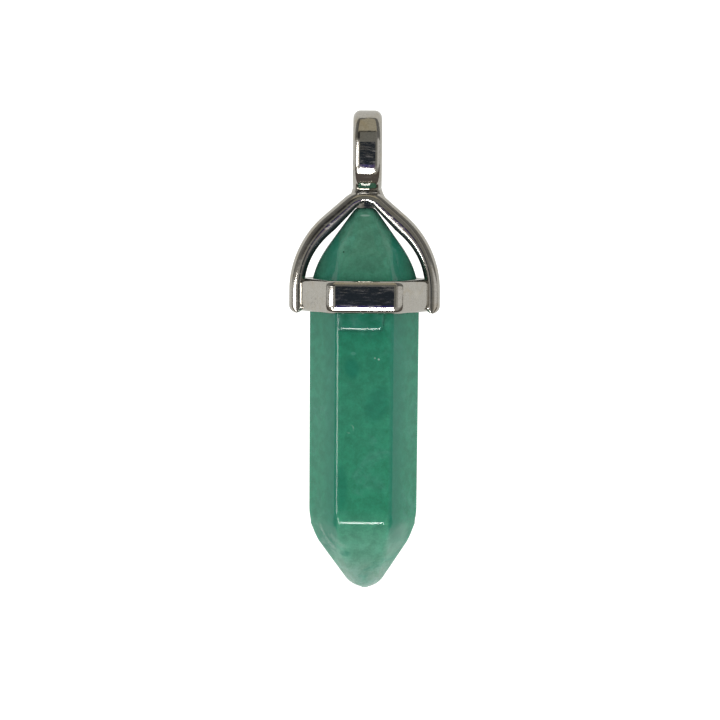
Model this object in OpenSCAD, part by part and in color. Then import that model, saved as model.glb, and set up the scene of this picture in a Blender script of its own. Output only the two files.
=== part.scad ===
// Crystal point pendant: a six-sided crystal with a point at each end, glued into a cast
// metal mount. The mount is one casting: a six-sided collar round the crystal, an arch
// over the upper point, and an upright loop on the arch that a chain or cord runs through.
// The pendant lies on its back, with its loop towards +Y and its front face up.
// Each piece is drawn upright, with the crystal's length along Z, its front towards -Y and
// Z = 0 at the middle of the collar, and is then laid down. All sizes are in millimetres.

/* [Crystal] */
// Distance from the crystal's axis to a long edge, at the upper shoulder
crystal_r_top = 4.6; // [4.55:0.01:4.65]
// Distance from the crystal's axis to a long edge, at the lower shoulder
crystal_r_low = 4.52; // [4.3:0.01:4.6]
// Height of the upper shoulder above the middle of the collar
shoulder_top = 1.9; // [1.55:0.05:1.9]
// Depth of the lower shoulder below the middle of the collar
shoulder_low = 19.35; // [14:0.05:26]
// Angle from the crystal's axis to a ridge of the upper point
point_angle_top = 36.1; // [36:0.1:40]
// Angle from the crystal's axis to a ridge of the lower point
point_angle_low = 34.9; // [30:0.1:42]
// Radius of the blunt upper tip
tip_r_top = 1.3; // [1.2:0.05:2]
// Radius of the blunt lower tip
tip_r_low = 1.7; // [1:0.05:2]
// Radius along the long edges and the ridges
edge_r = 0.5; // [0.3:0.05:0.7]
// Radius to which the long edges and the ridges are worn where they meet at a shoulder
shoulder_r = 5; // [2:0.1:6]
// How far from its worn corners the edge of the lower shoulder is keen again
keen_from = 0.6; // [0.3:0.05:1.2]

/* [Collar] */
// Distance from the collar's middle to a sharp upright edge
collar_r = 6.05; // [5.9:0.01:6.2]
// Height of the collar along the crystal
collar_h = 2.75; // [2.2:0.05:3.2]
// Radius of the collar's upright edges
collar_edge_r = 1.1; // [0.9:0.05:1.3]
// Radius of the collar's outer rims
rim_r = 0.45; // [0.2:0.05:0.45]
// Film of glue between the crystal and the collar
glue_gap = 0.05; // [0.03:0.01:0.08]

/* [Arch] */
// Half of the arch's width, measured outside
arch_half_w = 6.33; // [6.3:0.01:6.45]
// Thickness of the arch's strip, seen from the front
arch_t = 1.25; // [1.1:0.05:1.3]
// Depth of the arch's strip, from front to back
arch_d = 2.3; // [1.8:0.05:2.6]
// Height above the middle of the collar at which the arms start to bend
bend_start = 0.35; // [0.3:0.05:0.65]
// Outside radius of the bend in each arm
arch_bend_r = 8.25; // [8.15:0.05:8.5]
// Angle from upright of the straight part of each arm
arm_angle = 49; // [48:0.5:50]
// Inside radius of the bend at the top of the arch
apex_r = 1.3; // [0.8:0.1:1.4]
// How far the feet of the arch reach below the collar
foot_drop = 0.15; // [0:0.05:0.3]

/* [Bail] */
// Width of the bail's strip, seen from the front
bail_w = 2.44; // [2.2:0.02:3]
// Thickness of the bail's strip
bail_t = 0.9; // [0.7:0.05:1]
// Radius along the outer edges of the strip
bail_outer_r = 0.6; // [0.3:0.05:0.6]
// Radius along the inner edges of the strip
bail_inner_r = 0.25; // [0.1:0.05:0.3]
// Outside radius of the bail's round top and foot
bail_r = 2.4; // [2.2:0.05:2.6]
// Length of the bail's straight sides
bail_flat = 2.2; // [1.5:0.1:3]
// How deep the bail's foot is sunk in the top of the arch
bail_sunk = 0.35; // [0.2:0.05:0.5]

/* [Hidden] */

// Straight steps in each rounded corner of a section
corner_steps = 4;
// Fineness of the bends, and of the rings and balls that a hull is drawn over
bend_fn = 96;
hull_fn = 32;
ball_fn = 24;

function unit(v) = v / norm(v);

// An outline whose corners are rounded, each with its own radius
function rounded(corners, radii) = [
    for (i = [0:len(corners) - 1])
        let(
            corner = corners[i],
            before = unit(corners[(i + len(corners) - 1) % len(corners)] - corner),
            after = unit(corners[(i + 1) % len(corners)] - corner),
            half = acos(before * after) / 2,
            centre = corner + unit(before + after) * radii[i] / sin(half),
            first = unit(corner + before * radii[i] / tan(half) - centre),
            last = unit(corner + after * radii[i] / tan(half) - centre),
            turn = 180 - 2 * half
        )
        for (step = [0:corner_steps])
            let(part = turn * step / corner_steps)
                centre + radii[i] * (sin(turn - part) * first + sin(part) * last) / sin(turn)
];

// The crystal and the collar have six sides each
sides = 6;
half_side = 180 / sides;

// The crystal is a hull over small balls that round its edges. Their middles lie on the
// outline of a plane through its axis and two opposite long edges.
ball_x_top = crystal_r_top - edge_r;
ball_x_low = crystal_r_low - edge_r;
apex_top = shoulder_top + ball_x_top / tan(point_angle_top);
apex_low = -shoulder_low - ball_x_low / tan(point_angle_low);
worn_r = shoulder_r - edge_r;
crystal_outline = rounded(
    [
        [0, apex_low], [ball_x_low, -shoulder_low], [ball_x_top, shoulder_top],
        [0, apex_top], [-ball_x_top, shoulder_top], [-ball_x_low, -shoulder_low],
    ],
    [tip_r_low - edge_r, worn_r, worn_r, tip_r_top - edge_r, worn_r, worn_r]
);
// The balls of one long edge and its two ridges
edge_balls = [for (ball = crystal_outline) if (ball[0] > -0.01) [ball[0], 0, ball[1]]];
// Two more balls, from which the edge of the lower shoulder is keen on both sides
toward_next = 90 + half_side;
keen_balls = [
    for (way = [-1, 1])
        [ball_x_low, 0, -shoulder_low] + keen_from * [cos(toward_next), way * sin(toward_next), 0]
];
// The end of the lower point
crystal_end = apex_low - edge_r + (tip_r_low - edge_r) * (1 / sin(point_angle_low) - 1);
// The crystal's radius at a height between its shoulders, with its long edges sharp
function crystal_r(z) =
    crystal_r_low + (crystal_r_top - crystal_r_low)
        * (z + shoulder_low) / (shoulder_top + shoulder_low)
        + edge_r * (1 / cos(half_side) - 1);

// The collar
collar_top = collar_h / 2;
collar_flat = collar_r * cos(half_side);
hole_r = crystal_r(collar_top) + glue_gap / cos(half_side);

// A path of a strip is a list of rows. A row holds a length and no turn for a straight
// stretch, or a radius and the turn to the left for a bend.
SIZE = 0;
TURN = 1;

// The arch, along the middle of its strip
arm_x = arch_half_w - arch_t / 2;
arm_bend_r = arch_bend_r - arch_t / 2;
apex_bend_r = apex_r + arch_t / 2;
foot_z = arch_t / 2 - collar_top - foot_drop;
arm_run = (arm_x - arm_bend_r * (1 - cos(arm_angle)) - apex_bend_r * cos(arm_angle))
    / sin(arm_angle);
arch_path = [
    [bend_start - foot_z, 0],
    [arm_bend_r, arm_angle],
    [arm_run, 0],
    [apex_bend_r, 180 - 2 * arm_angle],
    [arm_run, 0],
    [arm_bend_r, arm_angle],
    [bend_start - foot_z, 0],
];
// The edges of the strip are rounded more on its outer side
arch_outer_r = 0.6 * arch_t;
arch_inner_r = 0.37 * arch_t;
arch_peak = bend_start + arm_bend_r * sin(arm_angle) + arm_run * cos(arm_angle)
    + apex_bend_r * (1 - sin(arm_angle)) + arch_t / 2;

// The bail, along the middle of its strip
bail_bend_r = bail_r - bail_t / 2;
bail_low_z = arch_peak - bail_sunk + bail_r;
bail_high_z = bail_low_z + bail_flat;
bail_path = [
    [bail_flat, 0],
    [bail_bend_r, 180],
    [bail_flat, 0],
    [bail_bend_r, 180],
];

// How the pendant lies. It touches the surface with the collar's lower rim and with the
// lower shoulder of the crystal, so the point is lower than the bail. Seen from the side,
// each of the two is a small circle: its height, its depth behind the axis, its radius.
HEIGHT = 0;
DEPTH = 1;
ROUND = 2;
rim_touch = [rim_r - collar_top, collar_flat - rim_r, rim_r];
crystal_touch = [-shoulder_low, ball_x_low * cos(half_side), edge_r];
apart = rim_touch - crystal_touch;
lean = atan2(apart[DEPTH], apart[HEIGHT])
    + asin(apart[ROUND] / norm([apart[HEIGHT], apart[DEPTH]]));
lift = rim_touch[DEPTH] * cos(lean) - rim_touch[HEIGHT] * sin(lean) + rim_touch[ROUND];
// The pendant's middle along Y, from its two ends
bail_end = bail_high_z * cos(lean) + bail_r;
point_end = (crystal_end + tip_r_low) * cos(lean) - tip_r_low;
middle_y = (bail_end + point_end) / 2;

module lay_down()
    translate([0, -middle_y, lift])
        rotate([lean - 90, 0, 0])
            children();

// A rectangle centred on the origin, with one radius on its right side and one on its left
module strip_section(w, h, right_r, left_r)
    polygon(rounded(
        [[w, -h] / 2, [w, h] / 2, [-w, h] / 2, [-w, -h] / 2],
        [right_r, right_r, left_r, left_r]
    ));

// A strip that follows a path from its given row on, with children() as its section
module strip(path, row = 0) {
    size = path[row][SIZE];
    turn = path[row][TURN];
    last = row == len(path) - 1;
    if (turn == 0) {
        linear_extrude(height = size)
            children();
        if (!last)
            translate([0, 0, size])
                strip(path, row + 1)
                    children();
    } else {
        translate([-size, 0, 0])
            rotate([90, 0, 0])
                rotate_extrude(angle = turn, $fn = bend_fn)
                    translate([size, 0])
                        children();
        if (!last)
            translate([-size, 0, 0])
                rotate([0, -turn, 0])
                    translate([size, 0, 0])
                        strip(path, row + 1)
                            children();
    }
}

module crystal()
    color("mediumseagreen")
        lay_down()
            hull()
                for (side = [0:sides - 1])
                    rotate([0, 0, side * 360 / sides])
                        for (ball = concat(edge_balls, keen_balls))
                            translate(ball)
                                sphere(r = edge_r, $fn = ball_fn);

// A ring that rounds one corner of one rim of the collar
module rim_ring()
    rotate_extrude($fn = hull_fn)
        translate([collar_edge_r - rim_r, 0])
            circle(r = rim_r, $fn = ball_fn);

module collar()
    difference() {
        hull()
            for (side = [0:sides - 1])
                rotate([0, 0, side * 360 / sides])
                    for (way = [-1, 1])
                        translate([
                            collar_r - collar_edge_r / cos(half_side), 0, way * (collar_top - rim_r)
                        ])
                            rim_ring();
        cylinder(r = hole_r, h = 2 * collar_h, center = true, $fn = sides);
    }

// The round lower end of an arm
module arch_foot()
    hull()
        for (way = [-1, 1])
            translate([0, way * (arch_d - arch_t) / 2, 0])
                sphere(d = arch_t, $fn = hull_fn);

module arch() {
    for (way = [-1, 1])
        translate([way * arm_x, 0, foot_z])
            arch_foot();
    translate([arm_x, 0, foot_z])
        strip(arch_path)
            strip_section(arch_t, arch_d, arch_outer_r, arch_inner_r);
}

module bail()
    rotate([0, 0, 90])
        translate([bail_bend_r, 0, bail_low_z])
            strip(bail_path)
                strip_section(bail_t, bail_w, bail_outer_r, bail_inner_r);

module mount()
    color("silver")
        lay_down() {
            collar();
            arch();
            bail();
        }

crystal();
mount();
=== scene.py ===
# Crystal point pendant: a green six-sided crystal, glued into a cast and plated mount that
# has a collar, an arch over the upper point and a loop. It lies on its back, as in the part's
# source. Each piece is modelled upright, in millimetres, and is then laid down in the frame.
from math import atan, cos, pi, radians, sin, tan

import bmesh
import bpy
import numpy as np
from mathutils import Matrix, Vector


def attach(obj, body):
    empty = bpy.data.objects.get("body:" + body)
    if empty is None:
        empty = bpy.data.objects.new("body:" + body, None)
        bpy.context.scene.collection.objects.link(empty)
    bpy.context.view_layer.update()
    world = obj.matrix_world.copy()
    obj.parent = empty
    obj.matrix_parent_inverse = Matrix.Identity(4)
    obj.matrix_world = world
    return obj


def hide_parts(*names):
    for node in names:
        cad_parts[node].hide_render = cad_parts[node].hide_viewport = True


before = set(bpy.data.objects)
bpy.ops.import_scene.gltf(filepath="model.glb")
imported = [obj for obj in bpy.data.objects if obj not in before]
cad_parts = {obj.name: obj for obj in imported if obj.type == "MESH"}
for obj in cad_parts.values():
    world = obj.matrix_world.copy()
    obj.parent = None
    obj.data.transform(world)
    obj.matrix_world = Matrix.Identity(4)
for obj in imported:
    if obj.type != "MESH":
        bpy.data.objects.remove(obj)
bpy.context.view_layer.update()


# The crystal is a bar of cloudy green quartz, ground to six sides with a point at each end,
# and tumbled until its edges are soft. Its lower shoulder is still keen across each side. It
# is glued into the mount's collar, and heights are measured from the collar's middle.
sides = 6
half_angle = pi / sides
shoulder_top, shoulder_low = 1.9, -19.35
tip_top, tip_low = 7.465, -24.715
point_angle_top, point_angle_low = radians(36.1), radians(34.9)
# Distances from the axis: to the long edges at both shoulders, and to a tip's last ring
edge_top, edge_low = 4.6, 4.52
last_ring_r = 0.05
# Radii: along the edges, and of the shoulders at the long edges and across the sides
edge_r = 0.5
worn_r_top, worn_r_low = 8.0, 5.0
side_r_top, side_r_low = 8.7, 1.2
outline_steps, corner_steps = 14, 8
# A corner is rounded by these shares of the side's distance at least and at most
least_round, most_round = 0.1, 0.96
# The ridges of both points are worn to a share of the section, soon after the shoulders
ridge_share, wear_run = 0.6, 2
wear_from_top, wear_from_low = 0.2, 0.5
# Across each side the lower shoulder lies higher. Nearer to the axis this fades away
bar_middle = -10
side_rise, side_rise_r = 0.5, 3.9
# The lower point is wider than it is thick, and its tip lies a little to the right
point_wide, wide_from, wide_run = 0.12, 0.55, 2.5
tip_shift, shift_power = 0.2, 1.5


def rounded_line(corners, radii, steps):
    """The points of a line of (height, distance) pairs, with each inner corner rounded."""
    points = []
    for before, corner, after, radius in zip(corners, corners[1:], corners[2:], radii):
        to_first, to_last = (before - corner).normalized(), (after - corner).normalized()
        half = to_first.angle(to_last) / 2
        centre = corner + (to_first + to_last).normalized() * radius / sin(half)
        first = corner + to_first * radius / tan(half) - centre
        last = corner + to_last * radius / tan(half) - centre
        points += [
            centre + first.slerp(last, step / steps) * radius for step in range(steps + 1)
        ]
    return points


def crystal_outline(share, radius_top, radius_low):
    """The crystal's outline at a long edge (share 1) or at the middle of a side (cosine)."""

    def point(edge, shoulder, angle, tip, way):
        # The sharp shoulder and apex, worked out from the middle of the edge's rounding
        inner = (edge - edge_r) * share
        slope = atan(share * tan(angle))
        apex = shoulder + way * (edge - edge_r) / tan(angle) + way * edge_r / sin(slope)
        corner = Vector((apex - way * (inner + edge_r) / tan(slope), inner + edge_r))
        blunt = abs(apex - tip) / (1 / sin(slope) - 1)
        return corner, Vector((apex, 0)), blunt

    top, apex_top, blunt_top = point(edge_top, shoulder_top, point_angle_top, tip_top, 1)
    low, apex_low, blunt_low = point(edge_low, shoulder_low, point_angle_low, tip_low, -1)
    other_top, other_low = Vector((top.x, -top.y)), Vector((low.x, -low.y))
    line = rounded_line(
        [other_low, apex_low, low, top, apex_top, other_top],
        [blunt_low, radius_low, radius_top, blunt_top],
        outline_steps,
    )
    return [p for p in line if p.y > last_ring_r]


def distance_at(outline, height):
    """An outline's distance from the axis at a height."""
    return np.interp(height, [p.x for p in outline], [p.y for p in outline])


def eased(distance, run):
    """A share that grows smoothly from 0 to 1 over a run."""
    share = min(max(distance / run, 0), 1)
    return share * share * (3 - 2 * share)


def six_sided_ring(mesh, height, side_distance, corner_r):
    """A face across the axis, with six sides and rounded corners."""
    place = Matrix.Translation((0, 0, height)) @ Matrix.Rotation(pi / 2, 4, "Z")
    corners = bmesh.ops.create_circle(
        mesh,
        cap_ends=True,
        segments=sides,
        radius=side_distance / cos(half_angle),
        matrix=place,
    )["verts"]
    rounded = bmesh.ops.bevel(
        mesh,
        geom=corners,
        affect="VERTICES",
        offset=corner_r * tan(half_angle),
        segments=corner_steps,
        profile=0.5,
        material=-1,
    )["verts"]
    return rounded[0].link_faces[0]


def skin(mesh, rings, closed=False):
    """Joins each ring to the next. The end rings stay as caps, or are joined too."""
    loops = [list(ring.edges) for ring in rings]
    inner = rings if closed else rings[1:-1]
    bmesh.ops.delete(mesh, geom=inner, context="FACES_ONLY")
    following = loops[1:] + loops[:1] if closed else loops[1:]
    for loop, after in zip(loops, following):
        bmesh.ops.bridge_loops(mesh, edges=loop + after)


# The pendant touches the surface with the collar's lower rim and the crystal's lower
# shoulder, so it leans towards its point. Its lean, its lift and its middle are the source's.
lean, lift, middle = radians(3.90565), 5.29134, -4.62922
millimetre = 0.001
lay_down = (
    Matrix.Scale(millimetre, 4)
    @ Matrix.Translation((0, -middle, lift))
    @ Matrix.Rotation(lean - pi / 2, 4, "X")
)
# Points that lie closer together than this are one
same_point = 0.001
sharp_from = radians(20)
# A slanting direction, in which hardly any two points of a piece lie level
slant = Vector((1, 2.718, 3.142))


def clean(mesh):
    """Merges doubles and turns the faces outwards. Extruding and spinning leave points and
    faces in a chance order, so both are sorted first, which makes every run the same."""
    mesh.verts.sort(key=lambda vert: slant.dot(vert.co))
    mesh.faces.sort(key=lambda face: slant.dot(face.calc_center_median()))
    bmesh.ops.remove_doubles(mesh, verts=mesh.verts, dist=same_point)
    bmesh.ops.recalc_face_normals(mesh, faces=mesh.faces)


def finished_piece(name, mesh, material):
    """Lays a mesh down in the frame and makes it a piece with smooth shading."""
    clean(mesh)
    bmesh.ops.transform(mesh, matrix=lay_down, verts=mesh.verts)
    data = bpy.data.meshes.new(name)
    mesh.to_mesh(data)
    mesh.free()
    data.materials.append(material)
    data.shade_smooth()
    data.set_sharp_from_angle(angle=sharp_from)
    piece = bpy.data.objects.new(name, data)
    bpy.context.scene.collection.objects.link(piece)
    weighted = piece.modifiers.new("even_faces", "WEIGHTED_NORMAL")
    weighted.keep_sharp = True
    weighted.weight = 100
    return piece


def feed(tree, node, inputs):
    """Sets a node's inputs to numbers or colours, or links outputs to them."""
    for socket, value in inputs.items():
        if isinstance(value, bpy.types.NodeSocket):
            tree.links.new(value, node.inputs[socket])
        else:
            node.inputs[socket].default_value = value


def put(tree, kind, inputs=None, **settings):
    """Adds a node with its settings and inputs."""
    node = tree.nodes.new(kind)
    for name, value in settings.items():
        setattr(node, name, value)
    feed(tree, node, inputs or {})
    return node


def new_material(name):
    """A material with only a Principled BSDF, and its place on the piece in millimetres."""
    material = bpy.data.materials.new(name)
    material.use_nodes = True
    tree = material.node_tree
    tree.nodes.clear()
    shader = put(tree, "ShaderNodeBsdfPrincipled")
    put(tree, "ShaderNodeOutputMaterial", {"Surface": shader.outputs[0]})
    place = put(tree, "ShaderNodeTexCoord").outputs["Object"]
    scaled = put(tree, "ShaderNodeMapping", {"Vector": place, "Scale": (1 / millimetre,) * 3})
    return material, tree, shader, scaled.outputs[0]


def new_group(name, inputs, outputs):
    """A node group with named sockets of given kinds, and what it is given."""
    group = bpy.data.node_groups.new(name, "ShaderNodeTree")
    for way, sockets in (("INPUT", inputs), ("OUTPUT", outputs)):
        for socket, kind in sockets.items():
            group.interface.new_socket(socket, in_out=way, socket_type="NodeSocket" + kind)
    return group, put(group, "NodeGroupInput").outputs


def math_step(tree, operation, *values):
    """One step of arithmetic."""
    inputs = dict(enumerate(values))
    return put(tree, "ShaderNodeMath", inputs, operation=operation).outputs[0]


def times(tree, first, *others):
    """The product of two or more shares."""
    product = first
    for other in others:
        product = math_step(tree, "MULTIPLY", product, other)
    return product


def noise(tree, place, scale, detail=2, roughness=0.5, distortion=0.0):
    """Noise with features of about 1 / scale millimetres."""
    inputs = {
        "Vector": place, "Scale": scale, "Detail": detail,
        "Roughness": roughness, "Distortion": distortion,
    }
    return put(tree, "ShaderNodeTexNoise", inputs).outputs["Fac"]


def ramp(tree, value, stops):
    """A colour for each value, from (position, colour) stops."""
    node = put(tree, "ShaderNodeValToRGB", {"Fac": value})
    node.color_ramp.interpolation = "EASE"
    elements = node.color_ramp.elements
    while len(elements) < len(stops):
        elements.new(1)
    for element, (position, colour) in zip(elements, stops):
        element.position, element.color = position, (*colour, 1)
    return node.outputs["Color"]


def mix(tree, share, first, second, blend="MIX"):
    """Two colours, or outputs, mixed by a share. Inputs 6 and 7 are the node's colours."""
    inputs = {0: share, 6: first, 7: second}
    for socket in (6, 7):
        if isinstance(inputs[socket], tuple):
            inputs[socket] = (*inputs[socket], 1)
    node = put(tree, "ShaderNodeMix", inputs, data_type="RGBA", blend_type=blend)
    return node.outputs[2]


def tinted(tree, colour, tint, *shares):
    """A colour with a tint mixed in by the product of the shares."""
    return mix(tree, times(tree, *shares), colour, tint)


def share_between(tree, value, none_at, full_at, none=0.0, full=1.0):
    """A number that goes smoothly from 0 to 1, or as given, between two values."""
    inputs = {
        "Value": value, "From Min": none_at, "From Max": full_at,
        "To Min": none, "To Max": full,
    }
    return put(tree, "ShaderNodeMapRange", inputs, interpolation_type="SMOOTHSTEP").outputs[0]


def band(tree, value, start, full, fading, end):
    """A smooth share that is 1 from full to fading, and 0 before start and after end."""
    rise = share_between(tree, value, start, full)
    return times(tree, rise, share_between(tree, value, end, fading))


# An oval spot of 1 on 0 that is soft at its edge. Away is the distance from its middle, as a
# share of its reach. Centre and reach are in millimetres.
full_within = 0.45
oval, given = new_group(
    "soft_oval",
    {"Place": "Vector", "Centre": "Vector", "Reach": "Vector", "Turn": "Vector"},
    {"Spot": "Float", "Away": "Float"},
)
fitted = put(
    oval,
    "ShaderNodeMapping",
    {
        "Vector": given["Place"], "Location": given["Centre"],
        "Rotation": given["Turn"], "Scale": given["Reach"],
    },
    vector_type="TEXTURE",
).outputs[0]
away = put(oval, "ShaderNodeVectorMath", {0: fitted}, operation="LENGTH").outputs["Value"]
spot = share_between(oval, away, 1.0, full_within)
put(oval, "NodeGroupOutput", {"Spot": spot, "Away": away})


def oval_at(tree, place, centre, reach, turn=0.0):
    """The outputs of a soft oval, turned about Z."""
    inputs = {"Place": place, "Centre": centre, "Reach": reach, "Turn": (0, 0, turn)}
    return put(tree, "ShaderNodeGroup", inputs, node_tree=oval).outputs


# A colour made uneven by noise, between a darkest and a lightest grey that are laid over it
uneven, given = new_group(
    "uneven_colour",
    {
        "Place": "Vector", "Colour": "Color", "Strength": "Float",
        "Darkest": "Float", "Lightest": "Float",
        "Scale": "Float", "Detail": "Float", "Roughness": "Float", "Distortion": "Float",
    },
    {"Colour": "Color", "Noise": "Float"},
)
fine_noise = noise(
    uneven, given["Place"], given["Scale"], given["Detail"], given["Roughness"],
    given["Distortion"],
)
grey = share_between(uneven, fine_noise, 0.3, 0.7, given["Darkest"], given["Lightest"])
laid_over = mix(uneven, given["Strength"], given["Colour"], grey, "OVERLAY")
put(uneven, "NodeGroupOutput", {"Colour": laid_over, "Noise": fine_noise})


def made_uneven(tree, place, colour, strength, greys, scale, detail, roughness, distortion=0.0):
    """The outputs of an uneven colour: the colour and its noise."""
    inputs = {
        "Place": place, "Colour": colour, "Strength": strength,
        "Darkest": greys[0], "Lightest": greys[1],
        "Scale": scale, "Detail": detail, "Roughness": roughness, "Distortion": distortion,
    }
    return put(tree, "ShaderNodeGroup", inputs, node_tree=uneven).outputs


green_stone, tree, shader, place = new_material("green_stone")
axes = put(tree, "ShaderNodeSeparateXYZ", {"Vector": place}).outputs
rightwards, along = axes["X"], axes["Y"]
upper_green, collar_green = (0.1, 0.325, 0.222), (0.036, 0.322, 0.196)
middle_green, lower_green = (0.07, 0.388, 0.245), (0.062, 0.395, 0.238)
milky_green, tip_green = (0.19, 0.53, 0.38), (0.4, 0.62, 0.53)
cloudy_green, dark_green, frost_and_glint = (0.12, 0.45, 0.33), (0.016, 0.25, 0.17), (0.5, 0.75, 0.66)
black_speck = (0.01, 0.03, 0.02)
# The green changes from the upper point to the lower one. Near the lower tip the paler greens are
# partly painted light, where the thin stone lets light through
green_from, green_to = 12.0, -20.0
down_the_bar = put(
    tree, "ShaderNodeMapRange", {"Value": along, "From Min": green_from, "From Max": green_to}
).outputs[0]
green = ramp(
    tree,
    down_the_bar,
    [
        (0.14, upper_green), (0.26, collar_green), (0.52, middle_green),
        (0.78, lower_green), (0.9, milky_green), (0.99, tip_green),
    ],
)
clouds = noise(tree, place, 0.33, 5, 0.6, 0.6)
green = tinted(tree, green, cloudy_green, share_between(tree, clouds, 0.5, 0.78))
green = made_uneven(tree, place, green, 0.5, (0.36, 0.66), 1.2, 5, 0.65, 0.4)["Colour"]
grained = made_uneven(tree, place, green, 0.3, (0.38, 0.62), 6.5, 3, 0.7)
green, grain = grained["Colour"], grained["Noise"]
# Darker and paler places in the stone, two painted glints of sparkles and a painted highlight on
# the upper tip: centre, reach, turn, colour and strength
for centre, reach, turn, colour, strength in (
    ((-1.0, -1.6, 9.0), (0.8, 1.1, 1), 0.2, dark_green, 0.55),
    ((1.1, -4.6, 8.8), (1.3, 2.1, 1), -0.3, dark_green, 0.3),
    ((-1.9, -11.6, 8.2), (0.8, 2.6, 1), 0.0, dark_green, 0.4),
    ((-0.9, -0.35, 9.1), (0.3, 0.2, 1), 0.0, cloudy_green, 0.8),
    # The next two are painted glints, where the stone sparkles
    ((0.9, -0.72, 9.1), (0.1, 0.1, 1), 0.0, frost_and_glint, 0.6),
    ((1.22, -0.82, 9.1), (0.11, 0.11, 1), 0.0, frost_and_glint, 1.0),
    ((-2.1, -17.6, 6.4), (0.25, 0.2, 1.4), 0.4, frost_and_glint, 0.45),
    ((-1.5, -17.1, 6.6), (0.6, 0.35, 1.4), 0.0, dark_green, 0.35),
    ((-3.1, -16.2, 5.8), (1.3, 1.9, 2.5), 0.3, dark_green, 0.4),
    ((2.9, -15.9, 5.8), (1.3, 1.9, 2.5), -0.3, frost_and_glint, 0.36),
    ((3.65, -9.8, 6.8), (0.09, 0.55, 0.8), -0.25, frost_and_glint, 0.35),
    ((-1.77, 8.1, 8.5), (0.09, 0.09, 0.6), 0.0, black_speck, 0.9),
    # A painted highlight on the rim of the upper tip
    ((0.0, 11.2, 6.9), (0.55, 0.12, 0.9), 0.0, frost_and_glint, 0.5),
):
    spot = oval_at(tree, place, centre, reach, turn)["Spot"]
    green = tinted(tree, green, colour, spot, strength)
# Beside the long edges the light goes deep into the stone, so it looks darker there, and this is
# painted shade. The numbers say between which heights this sets in, and how strong it is.
across = math_step(tree, "ABSOLUTE", rightwards)
for edge_shade, none_at, full_at, strength in (
    (band(tree, across, 2.0, 2.3, 2.4, 3.7), -17.5, -14.5, 0.6),
    (share_between(tree, across, 2.0, 2.6), -19.0, -14.5, 0.2),
    (band(tree, rightwards, 2.3, 2.42, 2.4, 4.2), -17.0, -13.5, 0.3),
):
    on_the_bar = share_between(tree, along, none_at, full_at)
    green = tinted(tree, green, dark_green, edge_shade, on_the_bar, strength)
# Old cracks, healed to pale veils, and a small ring where a chip has been ground away. Each
# is a circle's centre, radius and thickness, as a share of the radius, then the middle and
# the reach of the stretch of it that shows, and a strength.
broken = share_between(tree, noise(tree, place, 1.1, 4, 0.7), 0.4, 0.6)
veil_depth, veil_fade = 9, 1.15
for centre, radius, thin, near, reach, strength in (
    ((-0.6, -14.0, 7.0), 3.1, 0.06, (-3.0, -16.0, 7.0), 1.9, 0.5),
    ((-0.4, -13.8, 7.0), 2.85, 0.1, (-2.4, -16.2, 7.0), 1.5, 0.3),
    ((-0.7, -14.3, 7.0), 3.2, 0.04, (-2.7, -16.6, 7.0), 1.6, 0.3),
    ((-1.2, -6.6, 8.7), 0.38, 0.3, (-1.0, -6.7, 8.7), 0.5, 0.6),
):
    away = oval_at(tree, place, centre, (radius, radius, veil_depth))["Away"]
    edge_line = band(tree, away, 1 - thin, 1.0, 1.0, veil_fade)
    stretch = oval_at(tree, place, near, (reach, reach, veil_depth))["Spot"]
    green = tinted(tree, green, frost_and_glint, edge_line, stretch, broken, strength)
ripple_height = 3e-6
ripples = {"Height": noise(tree, place, 1.6), "Distance": ripple_height}
feed(
    tree,
    shader,
    {
        "Base Color": green,
        "Roughness": share_between(tree, grain, 0.3, 0.8, 0.04, 0.08),
        "Normal": put(tree, "ShaderNodeBump", ripples).outputs[0],
        "IOR": 1.54,
        "Specular IOR Level": 0.2,
        "Subsurface Weight": 0.7,
        "Subsurface Radius": (0.7, 1.0, 0.9),
        "Subsurface Scale": 0.0018,
    },
)

mesh = bmesh.new()
long_edge = crystal_outline(1, worn_r_top, worn_r_low)
side_middle = crystal_outline(cos(half_angle), side_r_top, side_r_low)
for point in side_middle:
    if point.x < bar_middle:
        point.x += side_rise * min(1, point.y / side_rise_r)
rings = []
for height in sorted({round(p.x, 2) for p in long_edge + side_middle}):
    edge, side = distance_at(long_edge, height), distance_at(side_middle, height)
    corner = (side - edge * cos(half_angle)) / (1 - cos(half_angle))
    corner = min(max(corner, least_round * side), most_round * side)
    # The points are worn almost round, and keep their outline at the ridges
    above_top = height - shoulder_top - wear_from_top
    below_low = shoulder_low - wear_from_low - height
    worn = eased(max(above_top, below_low), wear_run)
    ridge = (side - corner) / cos(half_angle) + corner
    corner += max(ridge_share * ridge - corner, 0) * worn
    side = (ridge - corner) * cos(half_angle) + corner
    rings.append(six_sided_ring(mesh, height, side, corner))
skin(mesh, rings)
for vert in mesh.verts:
    vert.co.x *= 1 + point_wide * eased(shoulder_low + wide_from - vert.co.z, wide_run)
    down_the_point = max(shoulder_low - vert.co.z, 0) / (shoulder_low - tip_low)
    vert.co.x += tip_shift * down_the_point**shift_power
crystal = finished_piece("crystal_point", mesh, green_stone)
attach(crystal, "root")
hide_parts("crystal")


# The glue that holds the crystal has run out under the collar, and has set as a thin clear
# film on the front. The green of the crystal shows through it, and its edge catches light.
film_t, film_sunk = 0.15, 0.04
film_left, film_right = -2.14, 1.62
film_top, film_low = -1.2, -2.86
left_slope, low_slope, right_slope = 0.75, 0.5, 0.3
film_columns, film_rows = 64, 40
# The left edge bows out. The lower edge is wavy, has a notch, and ends in a raised corner.
# Places along it are shares of the film's width.
left_bow = 0.11
wave_height, wave_angle = 0.03, 8
notch_height, notch_at, notch_half_w = 0.09, 0.64, 0.03
corner_height, corner_from = 0.5, 0.93
side_at_collar = 4.065


def swollen(distance, slope):
    """How full the film is at a distance from its edge, where it slopes down in a curve."""
    short = 1 - min(max(distance / slope, 0), 1)
    return (1 - short * short) ** 0.5


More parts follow.
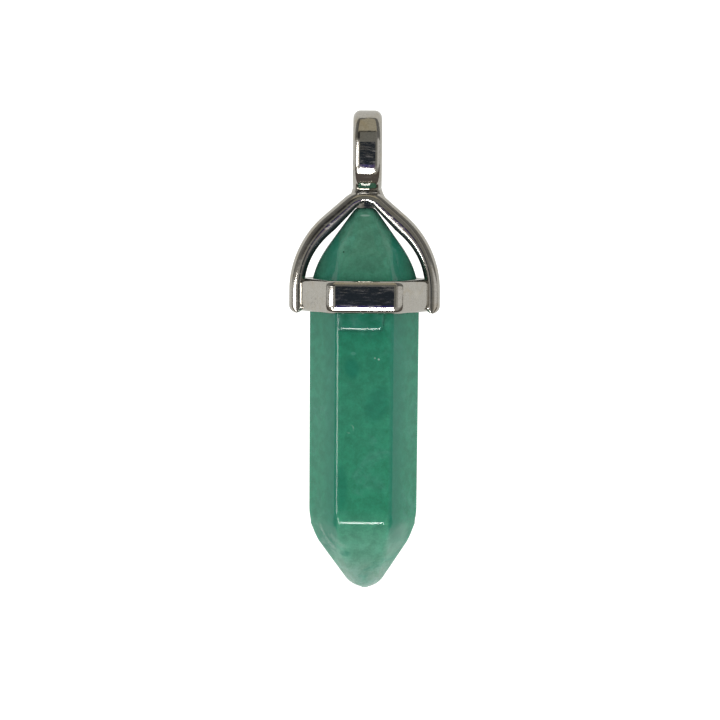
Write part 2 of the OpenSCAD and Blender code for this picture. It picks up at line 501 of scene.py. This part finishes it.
film = bmesh.new()
bmesh.ops.create_grid(film, x_segments=film_columns, y_segments=film_rows, size=0.5)
for vert in film.verts:
    # The rows lie closer together towards the edges
    across = 0.5 - 0.5 * cos(pi * (vert.co.x + 0.5))
    down = sin(pi / 2 * (0.5 - vert.co.y))
    left = film_left - left_bow * sin(pi * down)
    low = film_low + wave_height * sin(wave_angle * across)
    low += corner_height * max(0, (across - corner_from) / (1 - corner_from)) ** 2
    low += notch_height * max(0, 1 - abs(across - notch_at) / notch_half_w)
    x, z = left + (film_right - left) * across, film_top + (low - film_top) * down
    full = swollen(x - left, left_slope) * swollen(z - low, low_slope)
    vert.co = Vector((x, z, film_t * full * swollen(film_right - x, right_slope)))
made = bmesh.ops.extrude_face_region(film, geom=film.faces[:])["geom"]
for vert in [part for part in made if isinstance(part, bmesh.types.BMVert)]:
    vert.co.z = -film_sunk
on_front = Matrix.Translation((0, -side_at_collar, 0)) @ Matrix.Rotation(pi / 2, 4, "X")
bmesh.ops.transform(film, matrix=on_front, verts=film.verts)
glue = finished_piece("glue_film", film, green_stone)
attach(glue, "root")


# The mount is one casting of zinc alloy, polished and plated silver-grey. Its collar goes
# round the crystal and is glued to it. Its arch and its loop are strips with rounded edges.
collar_r, collar_h = 6.05, 2.75
collar_edge_r, hole_edge_r = 1.1, 0.06
collar_side, hole_side = collar_r * cos(half_angle), 4.099
rim_r, inner_rim_r, rim_crown, rim_steps = 0.45, 0.12, 0.002, 6
# The lower half of each outer side is a little swollen
wall_swell, swell_power, swell_rings = 0.033, 8, 12

collar = bmesh.new()
wall = rounded_line(
    [
        Vector((0, 0)),
        Vector((collar_h / 2, 0)),
        Vector((collar_h / 2, collar_side - hole_side)),
        Vector((0, collar_side - hole_side)),
    ],
    [rim_r, inner_rim_r],
    rim_steps,
)
rim_middle = (wall[rim_steps].y + wall[rim_steps + 1].y) / 2
wall.insert(rim_steps + 1, Vector((collar_h / 2 + rim_crown, rim_middle)))
wall = wall + [Vector((-p.x, p.y)) for p in reversed(wall)]
flat_half = collar_h / 2 - rim_r
wall += [Vector((height, 0)) for height in np.linspace(-flat_half, 0, swell_rings)[1:]]
for point in wall:
    if point.x < 0 and point.y <= rim_r:
        point.y += wall_swell * min(1, -point.x / flat_half) ** swell_power
rings = [
    six_sided_ring(collar, height, collar_side - depth, max(collar_edge_r - depth, hole_edge_r))
    for height, depth in wall
]
skin(collar, rings, closed=True)

bend_step = radians(3)


def points_of(edges):
    """The points of some edges, each once and always in the same order."""
    return list(dict.fromkeys(point for edge in edges for point in edge.verts))


def straight_on(mesh, edges, step):
    """Runs a strip's open end on in a straight line."""
    made = bmesh.ops.extrude_edge_only(mesh, edges=edges)["geom"]
    ends = [part for part in made if isinstance(part, bmesh.types.BMVert)]
    bmesh.ops.translate(mesh, vec=step, verts=ends)
    return [part for part in made if isinstance(part, bmesh.types.BMEdge)]


def bend_on(mesh, edges, centre, axis, angle):
    """Runs a strip's open end on round a bend."""
    made = bmesh.ops.spin(
        mesh,
        geom=edges + points_of(edges),
        cent=centre,
        axis=axis,
        angle=angle,
        steps=round(angle / bend_step),
    )["geom_last"]
    return [part for part in made if isinstance(part, bmesh.types.BMEdge)]


def narrow(mesh, edges, middle_x, share):
    """Scales an open end across, about its middle."""
    bmesh.ops.scale(
        mesh,
        vec=(share, 1, 1),
        space=Matrix.Translation((-middle_x, 0, 0)),
        verts=points_of(edges),
    )


def strip_section(mesh, thickness, width, outer_r, inner_r, steps, place):
    """The edges of a section across a strip, with its outer side towards +X."""
    corners = bmesh.ops.create_grid(mesh, x_segments=1, y_segments=1, size=0.5)["verts"]
    bmesh.ops.scale(mesh, vec=(thickness, width, 1), verts=corners)
    for way, radius in ((1, outer_r), (-1, inner_r)):
        bmesh.ops.bevel(
            mesh,
            geom=[v for v in mesh.verts if abs(v.co.x - way * thickness / 2) < same_point],
            affect="VERTICES",
            offset=radius,
            segments=steps,
            profile=0.5,
            material=-1,
        )
    bmesh.ops.transform(mesh, matrix=place, verts=mesh.verts)
    edges = list(mesh.edges)
    bmesh.ops.delete(mesh, geom=mesh.faces[:], context="FACES_ONLY")
    return edges


# One half of the arch is made and then mirrored
arch_half_w, arch_t, arch_d = 6.33, 1.25, 2.3
arch_outer_r, arch_inner_r, arch_corner_steps = 0.6 * arch_t, 0.37 * arch_t, 8
bend_start, arch_bend_r, arm_angle, apex_r = 0.35, 8.25, radians(49), 1.3
foot_drop, foot_steps, foot_turn = 0.15, 10, radians(87)
foot_z = arch_t / 2 - collar_h / 2 - foot_drop
# The bends and the straight stretch of an arm, along the middle of the strip
arm_x = arch_half_w - arch_t / 2
arm_bend_r, apex_bend_r = arch_bend_r - arch_t / 2, apex_r + arch_t / 2
arm_run = arm_x - arm_bend_r * (1 - cos(arm_angle)) - apex_bend_r * cos(arm_angle)
arm_run /= sin(arm_angle)
apex_z = bend_start + (arm_bend_r - apex_bend_r) * sin(arm_angle) + arm_run * cos(arm_angle)
arch_peak = apex_z + apex_bend_r + arch_t / 2
depthwise = Vector((0, 1, 0))
arch = bmesh.new()
foot_place = Matrix.Translation((arm_x, 0, foot_z))
edges = strip_section(
    arch, arch_t, arch_d, arch_outer_r, arch_inner_r, arch_corner_steps, foot_place
)
# The foot is rounded off downwards, in rings that grow narrower
foot, width_now, depth_now = edges, 1.0, 0.0
for step in range(1, foot_steps + 1):
    turn = foot_turn * step / foot_steps
    foot = straight_on(arch, foot, (0, 0, depth_now - sin(turn) * arch_t / 2))
    narrow(arch, foot, arm_x, cos(turn) / width_now)
    width_now, depth_now = cos(turn), sin(turn) * arch_t / 2
bmesh.ops.edgeloop_fill(arch, edges=foot)
edges = straight_on(arch, edges, (0, 0, bend_start - foot_z))
edges = bend_on(arch, edges, (arm_x - arm_bend_r, 0, bend_start), -depthwise, arm_angle)
edges = straight_on(arch, edges, arm_run * Vector((-sin(arm_angle), 0, cos(arm_angle))))
bend_on(arch, edges, (0, 0, apex_z), -depthwise, pi / 2 - arm_angle)
half = arch.verts[:] + arch.edges[:] + arch.faces[:]
bmesh.ops.mirror(arch, geom=half, merge_dist=2 * same_point, axis="X")
# Towards its top the strip is thicker on its inner side, which ends in a blunt corner. The
# inner side is the one that faces inside_z, a height on the axis.
inside_z = 1.5
arm_swell, swell_from, swell_run = 0.25, 0.7, 1.3
fade_from, fade_run = 2.6, 2.8
corner_depth, corner_reach = 0.3, 0.853
clean(arch)
arch.normal_update()
for vert in arch.verts:
    outward = Vector((vert.normal.x, 0, vert.normal.z))
    x, z = abs(vert.co.x), vert.co.z
    if outward.dot(Vector((-vert.co.x, 0, inside_z - z))) > 0 and z > bend_start:
        swell = eased(x - swell_from, swell_run) * (1 - eased(x - fade_from, fade_run))
        vert.co += outward * arm_swell * swell
        vert.co.z -= min(outward.z, 0) * corner_depth * max(1 - x / corner_reach, 0) ** 2

# The loop stands on the arch. Its top and its foot are a little oval
bail_w, bail_t, bail_r, bail_flat = 2.44, 0.9, 2.4, 2.2
bail_outer_r, bail_inner_r, bail_corner_steps = 0.6, 0.25, 6
bail_sunk, bail_oval, bail_aside = 0.35, 0.25, 0.15
bail_low_z = arch_peak - bail_sunk + bail_r
bail_high_z = bail_low_z + bail_flat
crosswise = Vector((1, 0, 0))
bail = bmesh.new()
bail_start = (
    Matrix.Translation((0, 0, bail_low_z))
    @ Matrix.Rotation(pi / 2, 4, "Z")
    @ Matrix.Translation((bail_r - bail_t / 2, 0, 0))
)
edges = strip_section(
    bail, bail_t, bail_w, bail_outer_r, bail_inner_r, bail_corner_steps, bail_start
)
edges = straight_on(bail, edges, (0, 0, bail_flat))
edges = bend_on(bail, edges, (0, 0, bail_high_z), crosswise, pi)
edges = straight_on(bail, edges, (0, 0, -bail_flat))
bend_on(bail, edges, (0, 0, bail_low_z), crosswise, pi)
for vert in bail.verts:
    upper = vert.co.z > bail_low_z + bail_flat / 2
    end_z, way = (bail_high_z, 1) if upper else (bail_low_z, -1)
    vert.co.z += way * bail_oval * (abs(vert.co.z - end_z) / bail_r - 1)
    vert.co.x += bail_aside

# A flared foot joins the loop to the arch. Its neck ends inside the loop's strip
saddle_w, saddle_d, saddle_low, saddle_high = 4.7, 1.9, 1.5, 0.45
saddle_sides, saddle_steps = 48, 14
neck_inset = 0.03
saddle = bmesh.new()
bmesh.ops.create_circle(saddle, cap_ends=True, segments=saddle_sides, radius=0.5)
bmesh.ops.scale(saddle, vec=(saddle_w, saddle_d, 1), verts=saddle.verts)
saddle_place = (bail_aside, 0, arch_peak - saddle_low)
bmesh.ops.translate(saddle, vec=saddle_place, verts=saddle.verts)
neck, width_now = saddle.edges[:], saddle_w
for step in range(1, saddle_steps + 1):
    neck = straight_on(saddle, neck, (0, 0, (saddle_low + saddle_high) / saddle_steps))
    width = bail_w - 2 * neck_inset + (saddle_w - bail_w) * (1 - step / saddle_steps) ** 2
    narrow(saddle, neck, bail_aside, width / width_now)
    width_now = width
bmesh.ops.edgeloop_fill(saddle, edges=neck)


def cast_in_one(parts):
    """The union of closed meshes, as one mesh."""
    blocks = []
    for part in parts:
        clean(part)
        data = bpy.data.meshes.new("block")
        part.to_mesh(data)
        part.free()
        block = bpy.data.objects.new("block", data)
        bpy.context.scene.collection.objects.link(block)
        blocks.append(block)
    for other in blocks[1:]:
        union = blocks[0].modifiers.new("union", "BOOLEAN")
        union.operation, union.solver, union.object = "UNION", "EXACT", other
    shown = blocks[0].evaluated_get(bpy.context.evaluated_depsgraph_get())
    whole = bmesh.new()
    whole.from_mesh(shown.to_mesh())
    for block in blocks:
        bpy.data.objects.remove(block)
    return whole


def facing_axis(tree, place, on_axis, beside_axis):
    """How much a surface faces an axis, whose direction is the zero in beside_axis."""

    def vector_step(operation, first, second=(0, 0, 0)):
        inputs = {0: first, 1: second}
        return put(tree, "ShaderNodeVectorMath", inputs, operation=operation).outputs

    towards = vector_step("SUBTRACT", on_axis, place)[0]
    towards = vector_step("MULTIPLY", towards, beside_axis)[0]
    towards = vector_step("NORMALIZE", towards)[0]
    normal = put(tree, "ShaderNodeNewGeometry").outputs["Normal"]
    return vector_step("DOT_PRODUCT", towards, normal)["Value"]


plated_metal, tree, shader, place = new_material("plated_metal")
axes = put(tree, "ShaderNodeSeparateXYZ", {"Vector": place}).outputs
rightwards, along, high = axes["X"], axes["Y"], axes["Z"]
plating, stained, dull_and_shade = (0.47, 0.45, 0.41), (0.44, 0.4, 0.33), (0.075, 0.08, 0.088)
pale_mark = (0.62, 0.59, 0.52)
stains = noise(tree, place, 0.7, 4, 0.6, 0.4)
metal = mix(tree, share_between(tree, stains, 0.48, 0.75), plating, stained)
satined = made_uneven(tree, place, metal, 0.35, (0.34, 0.62), 7, 3, 0.75)
metal, satin = satined["Colour"], satined["Noise"]
# A polishing wheel can't reach the inside of the arch and the loop, so they stay rough. Their
# colour is darkened there too, which is painted shade, and it reaches further on the left
collar_top_y, arch_top_y = 6.02, 13.35
arch_axis, bail_axis = (0, 6.1, 0), (0, 16.54, 6.1)
more_on_left = 0.24
on_left = share_between(tree, rightwards, 0.5, -1.5)
facing = facing_axis(tree, place, arch_axis, (1, 1, 0))
facing = math_step(tree, "MULTIPLY_ADD", on_left, more_on_left, facing)
in_arch = times(
    tree,
    share_between(tree, facing, 0.42, 0.64),
    band(tree, along, collar_top_y, collar_top_y + 0.15, arch_top_y - 0.2, arch_top_y),
)
facing = facing_axis(tree, place, bail_axis, (0, 1, 1))
in_bail = times(
    tree,
    share_between(tree, facing, 0.3, 0.7),
    share_between(tree, along, arch_top_y, arch_top_y + 0.4),
)
shaded_hollow = math_step(tree, "MAXIMUM", in_arch, in_bail)
# Painted shade: the colour is darkened inside the arch and the loop
metal = tinted(tree, metal, dull_and_shade, shaded_hollow)
# Pits of the casting on the collar, a round mark, and the dashes of the parting line
pits = share_between(tree, noise(tree, place, 4.2), 0.6, 0.7)
pitted = oval_at(tree, place, (-3.9, 4.1, 7.6), (1.2, 1.2, 2))["Spot"]
metal = tinted(tree, metal, dull_and_shade, pits, pitted, 0.5)
round_mark = oval_at(tree, place, (4.1, 4.6, 7.7), (0.6, 0.6, 1.2))["Spot"]
metal = tinted(tree, metal, pale_mark, round_mark, 0.35)
parting_line = band(tree, rightwards, -1.17, -1.09, -1.05, -0.97)
dashes = share_between(tree, noise(tree, place, 1.5, 1), 0.46, 0.56)
on_bail = share_between(tree, along, arch_top_y + 0.6, arch_top_y + 1)
at_front = band(tree, high, 7.7, 7.8, 8.1, 8.2)
metal = tinted(tree, metal, dull_and_shade, parting_line, dashes, on_bail, at_front, 0.75)
# Fine marks of the polishing, along the collar
brushed = put(tree, "ShaderNodeMapping", {"Vector": place, "Scale": (0.45, 2.6, 1.0)}).outputs[0]
marks = noise(tree, brushed, 1.5, 4, 0.65, 0.5)
rough = share_between(tree, marks, 0.45, 0.72, 0.045, 0.24)
mark_depth, satin_depth = 4.5e-6, 6e-8
waves = put(tree, "ShaderNodeBump", {"Height": marks, "Distance": mark_depth}).outputs[0]
finest = {"Height": satin, "Distance": satin_depth, "Normal": waves}
feed(
    tree,
    shader,
    {
        "Base Color": metal,
        "Metallic": 1,
        "Roughness": mix(tree, shaded_hollow, rough, (0.38, 0.38, 0.38)),
        "Normal": put(tree, "ShaderNodeBump", finest).outputs[0],
    },
)

mount = finished_piece("mount_casting", cast_in_one([collar, arch, bail, saddle]), plated_metal)
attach(mount, "root")
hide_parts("mount")


# The table is a plain white sheet that the pendant lies on. It glows, most of all for the
# camera, so that it is pure white in the picture and no shadow shows on it. From here on,
# sizes are in metres.
table_half = 1.5
camera_glow, gloss_glow, other_glow = 0.8, 0.2, 0.44
table_mesh = bmesh.new()
bmesh.ops.create_grid(table_mesh, x_segments=1, y_segments=1, size=table_half)
table_data = bpy.data.meshes.new("table")
table_mesh.to_mesh(table_data)
table_mesh.free()
table = bpy.data.objects.new("table", table_data)
bpy.context.scene.collection.objects.link(table)
white_table, tree, shader, place = new_material("white_table")
speckle = noise(tree, place, 2, 4)
rays = put(tree, "ShaderNodeLightPath").outputs
glow = math_step(tree, "MULTIPLY_ADD", rays["Is Camera Ray"], camera_glow, other_glow)
feed(
    tree,
    shader,
    {
        "Base Color": ramp(tree, speckle, [(0.3, (0.28, 0.28, 0.27)), (0.7, (0.32, 0.32, 0.31))]),
        "Roughness": 0.7,
        "Emission Color": (1, 1, 0.98, 1),
        "Emission Strength": math_step(
            tree, "MULTIPLY_ADD", rays["Is Glossy Ray"], gloss_glow, glow
        ),
    },
)
table.data.materials.append(white_table)


# The room is plain and lights everything evenly. Only reflections show its grey walls, its
# coloured parts, and the dark place above where the camera stands.
room = bpy.data.worlds.new("room")
room.use_nodes = True
tree = room.node_tree
tree.nodes.clear()
direction = put(tree, "ShaderNodeTexCoord").outputs["Generated"]
towards = put(tree, "ShaderNodeSeparateXYZ", {"Vector": direction}).outputs
to_bail = math_step(tree, "ARCTAN2", towards["Y"], towards["Z"])
to_right = math_step(tree, "ARCTAN2", towards["X"], towards["Z"])


def within(tree, value, low, high, soft):
    """A soft share between two angles, in degrees."""
    low, high, soft = radians(low), radians(high), radians(soft)
    return band(tree, value, low - soft, low + soft, high - soft, high + soft)


daylight = (0.6, 0.6, 0.585)
upper_wall, lower_wall = (0.48, 0.47, 0.45), (0.4, 0.39, 0.37)
walls = tinted(tree, upper_wall, lower_wall, share_between(tree, towards["Z"], 0.52, 0.36))
# Parts of the room, in degrees from straight above: where each begins and ends towards the
# bail and towards the right, how soft its edges are, and its colour
for bail_from, bail_to, right_from, right_to, soft, colour in (
    (18, 180, -180, -38, 4, (0.24, 0.24, 0.23)),
    (18, 180, 38, 180, 4, (0.24, 0.24, 0.23)),
    (8, 180, -58, -10, 10, (0.16, 0.16, 0.16)),
    (5, 180, -36, -4, 7, (0.045, 0.045, 0.045)),
    (5, 180, 36, 56, 4, (0.17, 0.17, 0.17)),
    (-25, 12, 44, 110, 3, (0.85, 0.85, 0.84)),
    (-25, 12, -110, -68, 3, (0.7, 0.7, 0.69)),
    (33, 180, -34, 34, 3, (0.54, 0.5, 0.39)),
    (29, 35, -30, 30, 1, (0.08, 0.08, 0.07)),
    (-180, -43, -180, 180, 2, (0.15, 0.13, 0.12)),
    (-17, 29, -12, 30, 2, (0.25, 0.25, 0.23)),
    (-37, -10.5, -12, 12, 1.5, (0.2, 0.16, 0.27)),
    (-19, -10, -6, 6, 0.8, (0.05, 0.035, 0.24)),
    (-11, -3, -7, 9, 0.8, (0.03, 0.04, 0.055)),
):
    lengthwise = within(tree, to_bail, bail_from, bail_to, soft)
    sideways = within(tree, to_right, right_from, right_to, soft)
    walls = tinted(tree, walls, colour, lengthwise, sideways)
in_gloss = put(tree, "ShaderNodeLightPath").outputs["Is Glossy Ray"]
background = put(tree, "ShaderNodeBackground", {"Color": mix(tree, in_gloss, daylight, walls)})
put(tree, "ShaderNodeOutputWorld", {"Surface": background.outputs[0]})
bpy.context.scene.world = room


# Three soft lamps, on the left, in front and between them. Only their reflections count,
# because the room lights the rest evenly. Angles are in degrees.
lamp_away = 0.8
for name, azimuth, off_zenith, width, height, radiance in (
    ("left_lamp", 261, 45, 0.13, 0.34, 12),
    ("front_lamp", 187, 31.5, 0.26, 0.2, 30),
    ("corner_lamp", 226, 44, 0.3, 0.1, 16),
):
    lamp = bpy.data.lights.new(name, "AREA")
    lamp.shape, lamp.size, lamp.size_y = "RECTANGLE", width, height
    lamp.energy = radiance * pi * width * height
    light = bpy.data.objects.new(name, lamp)
    light.matrix_world = (
        Matrix.Rotation(-radians(azimuth), 4, "Z")
        @ Matrix.Rotation(-radians(off_zenith), 4, "X")
        @ Matrix.Translation((0, 0, lamp_away))
    )
    light.visible_camera = light.visible_diffuse = False
    bpy.context.scene.collection.objects.link(light)

# The camera looks straight down, and is turned a trace, as the pendant is in the picture
lens = bpy.data.cameras.new("camera")
lens.sensor_width, lens.lens = 36, 208
camera = bpy.data.objects.new("camera", lens)
camera.location = (-0.00034, -0.00088, 0.3545)
camera.rotation_euler = (0, 0, radians(0.45))
bpy.context.scene.collection.objects.link(camera)
bpy.context.scene.camera = camera
bpy.context.scene.view_settings.view_transform = "Standard"
